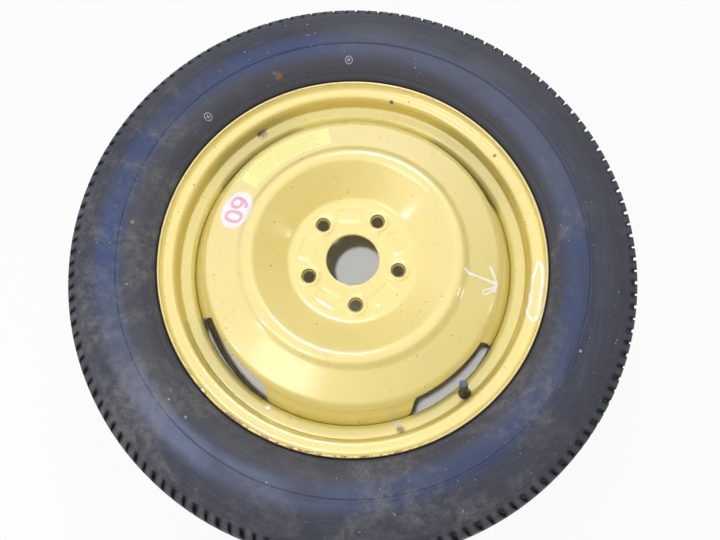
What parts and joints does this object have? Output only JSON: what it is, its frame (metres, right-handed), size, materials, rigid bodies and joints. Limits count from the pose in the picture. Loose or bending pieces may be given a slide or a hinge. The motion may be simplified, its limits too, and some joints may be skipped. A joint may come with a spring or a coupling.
{
  "type": "space saver spare wheel",
  "caption": "Narrow temporary spare wheel: a dished pressed steel disc with vent slots in a steel rim, with its tyre, snap-in valve and screw cap.",
  "frame": {"origin": "centre of the tyre, on the axle line, halfway between its side walls", "axes": "+Z along the axle line towards the outer face of the wheel; the wheel lies flat on its inner side; +X and +Y follow the picture's right and up"},
  "size_m": [0.6958, 0.6958, 0.165],
  "materials": {
    "tyre_rubber": "dusty satin rubber",
    "wheel_paint": "semi-gloss pale yellow paint with small chips",
    "weld_paint": "painted weld bead",
    "valve_rubber": "matt black rubber",
    "brass": "turned brass",
    "seal_red": "matt",
    "steel": "drawn wire",
    "seal_rubber": "matt",
    "cap_plastic": "moulded dark plastic",
    "label_white": "printed film",
    "label_yellow": "printed film"
  },
  "bodies": {
    "wheel": {"tyre": "tyre_rubber", "rim": "wheel_paint", "disc": "wheel_paint", "disc_welds": "weld_paint", "valve_body": "valve_rubber", "valve_stem": "brass", "core_plug": "brass", "core_barrel": "brass", "core_barrel_seal": "seal_red", "core_spring": "steel", "oval_label": "label_white", "arched_label": "label_yellow"},
    "cap": {"valve_cap": "cap_plastic", "cap_seal": "seal_rubber"},
    "pin": {"core_pin": "steel", "core_cup": "brass", "core_cup_seal": "seal_rubber"}
  },
  "joints": [
    {"name": "cap_screw_off", "type": "slide", "parent": "wheel", "child": "cap", "axis": [-0.1638, 0.2004, 0.9659], "range_m": [0, 0.014]},
    {"name": "core_pin_press", "type": "slide", "parent": "wheel", "child": "pin", "axis": [0.1638, -0.2004, -0.9659], "range_m": [0, 0.0012], "stiffness_N_per_m": 300, "springref_m": -0.002, "deforming": ["core_spring"]}
  ]
}
